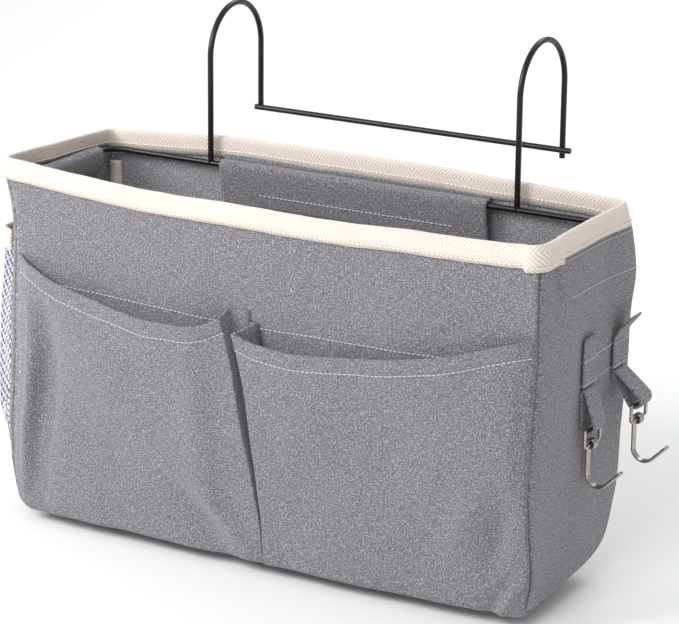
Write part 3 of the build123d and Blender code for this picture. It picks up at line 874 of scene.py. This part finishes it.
section = flap_section()
flap_x = np.linspace(-FLAP_HALF, FLAP_HALF, 90)
grid = np.zeros((len(section), len(flap_x), 3))
grid[..., 0] = flap_x[None, :]
wander = flap_wander(flap_x)
drop = np.clip((section[:, 1].max() - section[:, 1]) / FLAP_DROP, 0, 1)
grid[..., 1] = section[:, 0][:, None] - FLAP_WAVE * np.abs(wander)[None, :] * drop[:, None]
grid[..., 2] = section[:, 1][:, None] + 0.5 * wander[None, :] * (drop[:, None] ** 3)
section_walk = np.concatenate([[0], np.cumsum(np.hypot(*np.diff(section, axis=0).T))])
uv = np.stack(np.meshgrid(flap_x, -section_walk), -1) * MM
flap = make_cloth("rail_flap_canvas", grid, uv, FLAP_CLOTH, canvas, inward=-1)
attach(flap, "rail_flap")
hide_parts("rail_flap")

root = [(WALL_Y - 0.2, RIM_Z - 3.0), (WALL_Y - 0.5, HINGE[2] + 2.5)]
root = np.array(root + [(WALL_Y - 0.8, HINGE[2] + 0.9), (HINGE[1] + 0.2, HINGE[2] + 0.55)])
grid = np.array([[(x, y, z) for x in flap_x] for y, z in root])
grid[:3] += (slump(grid[:3]) - grid[:3]) * np.array([1.0, 0.8, 0.4])[:, None, None]
uv = np.array([[(x * MM, -k * 3 * MM) for x in flap_x] for k in range(len(root))])
flap_root = make_cloth("rail_flap_root_canvas", grid, uv, 0.8, canvas, inward=-1)
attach(flap_root, "bag")


def nub_tree(material):
    """Geometry Nodes: small stiff pegs, a set distance apart, over a flat strip."""
    tree, start = open_tree("strip_nubs", "Strip", ("Nub radius", "Nub height"), "Nubs")
    cone = {"Vertices": 5, "Radius Top": 0.0, "Radius Bottom": start[1], "Depth": start[2]}
    peg = add_node(tree, "GeometryNodeMeshCone", None, cone).outputs[0]
    normal = add_node(tree, "GeometryNodeInputNormal").outputs[0]
    upright = add_node(tree, "FunctionNodeAlignEulerToVector", {"axis": "Z"}, {"Vector": normal}).outputs[0]
    places = {"Points": start[0], "Instance": peg, "Rotation": upright}
    set_on = add_node(tree, "GeometryNodeInstanceOnPoints", None, places).outputs[0]
    joined = add_node(tree, "GeometryNodeJoinGeometry", None, {0: start[0]})
    tree.links.new(set_on, joined.inputs[0])
    return close_tree(tree, joined.outputs[0], material)


# Woven nylon tape with a pile of hooks or loops: lilac white, matt, and furry in raking light.
velour, tree, shader, pile = two_tones(
    "nylon_hook_and_loop", "#8f90a8", "#e6e6f2", 0.8, 1500.0, 3.0, **{"Sheen Weight": 0.5}
)
set_relief(tree, shader, pile, 0.8, 0.4)
nubs = nub_tree(velour)
for node, body, facing in (("flap_hook_strip", "rail_flap", 1), ("panel_loop_strip", "bag", -1)):
    low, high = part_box(node)
    face_y = (high.y if facing > 0 else low.y) / MM - facing * 0.45
    strip_x = np.linspace(low.x / MM, high.x / MM, 85)
    strip_z = np.linspace(low.z / MM, high.z / MM, 8)
    grid = np.array([[(x, face_y, z) for x in strip_x] for z in strip_z])
    uv = grid[..., (0, 2)] * MM
    strip = make_cloth(f"{node}_base", grid, uv, 0, velour, inward=-facing)
    strip = run_tree(f"{node}_nylon", strip, nubs, {"Nub radius": 0.45 * MM, "Nub height": 0.8 * MM})
    wall = strip.modifiers.new("thickness", "SOLIDIFY")
    wall.thickness, wall.offset = 0.4 * MM, -1.0
    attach(strip, body)
    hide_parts(node)


# --- Hangers: straps, loops, rings and J hooks ---
# Two straps of folded canvas sewn to the right side. Each ends in a free loop that carries a ring of
# nickel-plated wire and a J hook bent from doubled wire. The rear strap's upper end curls away.
STRAP = 1.5
STRAP_HALF = 8.0
LOOP_LENGTH = 20.0  # from the pinched top of a loop to the middle of its round end
LOOP_END_R = 3.4  # inside radius of that end
LEAN = {"front_hanger": 0.0, "rear_hanger": 32.0}  # how far each loop stands out, in degrees
CURL = {"front_hanger": 0.6, "rear_hanger": 7.5}  # how far each strap's upper end curls away


def strap_piece(name, path, y_mid, closed):
    """Folded webbing along a path of points (x, z), with soft rounded edges."""
    path = np.array(path, float)
    ahead, behind = (np.roll(path, -1, axis=0), np.roll(path, 1, axis=0))
    if not closed:
        ahead[-1], behind[0] = path[-1], path[0]
    along = ahead - behind
    along /= np.hypot(*along.T)[:, None]
    out = np.stack([along[:, 1], -along[:, 0]], 1)
    ring = []
    for k in range(20):
        angle = 2 * math.pi * k / 20
        c, s = math.cos(angle), math.sin(angle)
        flat = (abs(c) ** 0.25 * math.copysign(1, c), abs(s) ** 0.6 * math.copysign(1, s))
        ring.append((flat[0] * (STRAP_HALF - 0.05), flat[1] * STRAP / 2))
    verts, faces, coords = [], [], []
    walk = np.concatenate([[0], np.cumsum(np.hypot(*np.diff(path, axis=0).T))])
    for (x, z), (ox, oz) in zip(path, out):
        verts += [((x + ox * t) * MM, (y_mid + w) * MM, (z + oz * t) * MM) for w, t in ring]
    count, turns = len(ring), len(path)
    for i in range(turns if closed else turns - 1):
        for j in range(count):
            a, b = i * count, ((i + 1) % turns) * count
            faces.append((a + j, a + (j + 1) % count, b + (j + 1) % count, b + j))
            u0, u1 = walk[i], walk[i] + 1.0 if i + 1 == turns else walk[i + 1]
            w0, w1 = ring[j][0], ring[(j + 1) % count][0]
            coords += [w0 * MM, u0 * MM, w1 * MM, u0 * MM, w1 * MM, u1 * MM, w0 * MM, u1 * MM]
    if not closed:
        for cap in (list(range(count))[::-1], [(turns - 1) * count + j for j in range(count)]):
            faces.append(tuple(cap))
            coords += [0.0, 0.0] * count
    mesh = bpy.data.meshes.new(name)
    mesh.from_pydata(verts, [], faces)
    mesh.uv_layers.new(name="cloth").data.foreach_set("uv", coords)
    mesh.materials.append(canvas)
    face_outward(mesh)
    mesh.shade_smooth()
    piece = bpy.data.objects.new(name, mesh)
    bpy.context.scene.collection.objects.link(piece)
    return piece


def loop_path(pivot, lean):
    """The free loop: down its inner side, round its end and up the swelling outer side."""
    end_r, length = LOOP_END_R + STRAP / 2, LOOP_LENGTH
    points = [(-STRAP / 2, -t * length) for t in np.linspace(0.04, 1, 9)]
    middle = end_r - STRAP / 2
    around = np.linspace(math.pi * 1.1, math.pi * 1.95, 8)
    points += [(middle + end_r * math.cos(a), -length + end_r * math.sin(a)) for a in around]
    start, pull, end = (np.array(p) for p in ((middle + end_r, -length + 0.6), (5.0, -10.0), (0.9, 0.0)))
    for t in np.linspace(0, 1, 11):
        points.append(tuple((1 - t) ** 2 * start + 2 * t * (1 - t) * pull + t * t * end))
    points.append((0.0, 0.25))
    c, s = math.cos(math.radians(lean)), math.sin(math.radians(lean))
    return [(pivot[0] + x * c - z * s, pivot[1] + x * s + z * c) for x, z in points]


# Nickel plating over drawn steel wire: warm grey metal, bright, a little dull where it is handled.
nickel, tree, shader, drawn = two_tones(
    "nickel_plated_wire", "#8a8078", "#c9c4bd", 0.2, 260.0, 3.0, Metallic=1.0
)
polish = add_node(tree, "ShaderNodeMapRange", None, {"Value": drawn, "To Min": 0.12, "To Max": 0.32})
tree.links.new(polish.outputs[0], shader.inputs["Roughness"])

joint_place = {joint["name"]: [value / MM for value in joint["pos_m"]] for joint in frame["joints"]}
for name, lean in LEAN.items():
    pivot_x, y_mid, pivot_z = joint_place[f"{name}_loop_swing"]
    low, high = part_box(f"{name}_strap")
    foot, head = low.z / MM, high.z / MM
    lift = np.linspace(0, 1, 15)
    out = HALF_W + STRAP + 0.5 + CURL[name] * ramp(lift, 0.5, 1.25) * 1.7
    strap_path = list(zip(out, foot - 0.1 + lift * (head - foot + 0.4 * CURL[name])))
    strap = strap_piece(f"{name}_strap_canvas", strap_path, y_mid, False)
    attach(strap, "bag")
    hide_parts(f"{name}_strap")
    loop = strap_piece(f"{name}_loop_canvas", loop_path((pivot_x, pivot_z), lean), y_mid, True)
    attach(loop, f"{name}_loop")
    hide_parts(f"{name}_loop")


# --- Stitches ---
# Lockstitch in pale grey polyester thread, about eight stitches to 25 mm, drawn a little thick so that
# it shows: hems, tunnels, straps, flap and pocket seams; the rim tape is sewn in cream thread.
STITCH = 2.9
THREAD = 0.42  # the thread's radius
PROUD = 0.25  # how far the stitches' middle lies off the cloth
POCKET_STITCH_Z = 143.5  # the row on the front panel behind the pockets' mouths
TUNNEL_STITCHES = ((197.6, -30, 49), (175.8, -20, 51))  # each row's height and its ends along the side
STRAP_STITCHES = (134.0, 120.2)  # rows on the right side under the hangers' straps


def stitch_tree(material, name):
    """Geometry Nodes: one short rounded stitch after another along each line."""
    tree, start = open_tree(name, "Seam lines", ("Stitch length", "Thread radius"), "Stitches")
    lines = add_node(tree, "GeometryNodeMeshToCurve", None, {0: start[0]}).outputs[0]
    spacing = {"Curve": lines, "Length": start[1]}
    spots = add_node(tree, "GeometryNodeCurveToPoints", {"mode": "LENGTH"}, spacing).outputs
    stretch = add_node(tree, "ShaderNodeMath", {"operation": "MULTIPLY"}, {0: start[1], 1: 0.45}).outputs[0]
    size = add_node(tree, "ShaderNodeCombineXYZ", None, {0: start[2], 1: start[2], 2: stretch}).outputs[0]
    bead = {"Segments": 6, "Rings": 5, "Radius": 1.0}
    grain = add_node(tree, "GeometryNodeMeshUVSphere", None, bead).outputs[0]
    along = {"Vector": spots[1]}
    turned = add_node(tree, "FunctionNodeAlignEulerToVector", {"axis": "Z"}, along).outputs[0]
    places = {"Points": spots[0], "Instance": grain, "Rotation": turned, "Scale": size}
    sewn = add_node(tree, "GeometryNodeInstanceOnPoints", None, places).outputs[0]
    return close_tree(tree, sewn, material)


def thread_material(name, low, high):
    """Spun polyester thread: a soft dull line with a faint twist."""
    return two_tones(name, low, high, 0.7, 1800.0, 2.0, **{"Sheen Weight": 0.2})[0]


def sew(name, body, lines, tree):
    """Lays stitches along lines of finished points, in millimetres."""
    verts, edges = [], []
    for line in lines:
        first = len(verts)
        verts += (np.asarray(line) * MM).tolist()
        edges += [(first + k, first + k + 1) for k in range(len(line) - 1)]
    mesh = bpy.data.meshes.new(f"{name}_lines")
    mesh.from_pydata(verts, edges, [])
    source = bpy.data.objects.new(f"{name}_lines", mesh)
    bpy.context.scene.collection.objects.link(source)
    piece = run_tree(name, source, tree, {"Stitch length": STITCH * MM, "Thread radius": THREAD * MM})
    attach(piece, body)
    return piece


grey_thread = stitch_tree(thread_material("pale_grey_thread", "#adadb2", "#cfcfd4"), "grey_lockstitch")
cream_thread = stitch_tree(thread_material("cream_thread", "#e6d8c4", "#fbf3e8"), "cream_lockstitch")
bag_lines = []
for side, cut in POCKETS.items():
    fold_x = float(eased(140.0, *cut["fold"]))
    x = np.linspace(cut["outer"] * 0.985, fold_x - np.sign(fold_x - cut["outer"]) * 0.6, 120)
    top = eased(x, *cut["lip"])
    z = top - HEM
    stand = pocket_stand(cut, x, z, top)
    bag_lines.append(slump(wrap_point(x, TOP_Z - z, stand + PROUD)))
line_x = np.linspace(-168, 168, 140)
bag_lines.append(slump(wrap_point(line_x, TOP_Z - (POCKET_STITCH_Z - 2.5 * bump(line_x, 0, 90)), PROUD)))
for side in (-1, 1):
    for z, start_y, end_y in TUNNEL_STITCHES:
        y = np.linspace(start_y, end_y, 40)
        bag_lines.append(slump(side_point(side, y, np.full(40, z), PROUD)))
for z in STRAP_STITCHES:
    y = np.linspace(-4, 50, 30)
    bag_lines.append(slump(side_point(1, y, np.full(30, z), PROUD)))
low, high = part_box("panel_loop_strip")
for z in (low.z / MM + 1.5, high.z / MM - 1.5):
    line_x = np.linspace(low.x / MM + 1.5, high.x / MM - 1.5, 60)
    bag_lines.append(slump(wrap_point(line_x, walked[-1] - (TOP_Z - z), PROUD)))
z = np.linspace(MESH_Z[0] + 2, MESH_Z[1] + 10, 50)
bag_lines.append(mesh_place(np.full(50, MESH_Y[1] - 2.0), z, 0.9))
y = np.linspace(MESH_Y[0] + 2, MESH_Y[1] - 2, 50)
bag_lines.append(mesh_place(y, np.full(50, MESH_Z[0] + 2.0), 0.9))
sew("bag_stitches", "bag", bag_lines, grey_thread)

for name in LEAN:
    y_mid = joint_place[f"{name}_loop_swing"][1]
    low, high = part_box(f"{name}_strap")
    marks = []
    for z in (low.z / MM + 1.2, low.z / MM + 15.0):
        y = np.linspace(y_mid - STRAP_HALF + 0.6, y_mid + STRAP_HALF - 0.6, 8)
        marks.append(np.stack([np.full(8, HALF_W + 0.5 + STRAP * 1.5 + 0.15), y, np.full(8, z)], 1))
    sew(f"{name}_stitches", "bag", marks, grey_thread)

line_x = np.linspace(-62, 66, 60)
height = FLAP_FOOT + 9.0
share_down = (section[:, 1].max() - height) / FLAP_DROP
y = np.interp(height, section[::-1, 1], section[::-1, 0])
y = y - FLAP_WAVE * np.abs(flap_wander(line_x)) * share_down - PROUD
sew("flap_stitches", "rail_flap", [np.stack([line_x, y, np.full(60, height)], 1)], grey_thread)

edge_lines = []
for out, drop in ((0.2 + TAPE + PROUD, -OUTER_LEG + 2.0), (-2.8 - PROUD, -INNER_LEG + 1.6)):
    ring_points = rim_points + rim_normals * (out + (0.9 * lap[:, None] if out > 0 else 0))
    heights_here = RIM_Z + drop * (1 + 0.16 * lap * (out > 0))
    ring = np.concatenate([ring_points, heights_here[:, None]], 1)
    edge_lines.append(slump(np.vstack([ring, ring[:1]])))
sew("rim_stitches", "bag", edge_lines, cream_thread)

for name in LEAN:
    dress(f"{name}_ring", nickel)
    dress(f"{name}_hook", nickel)
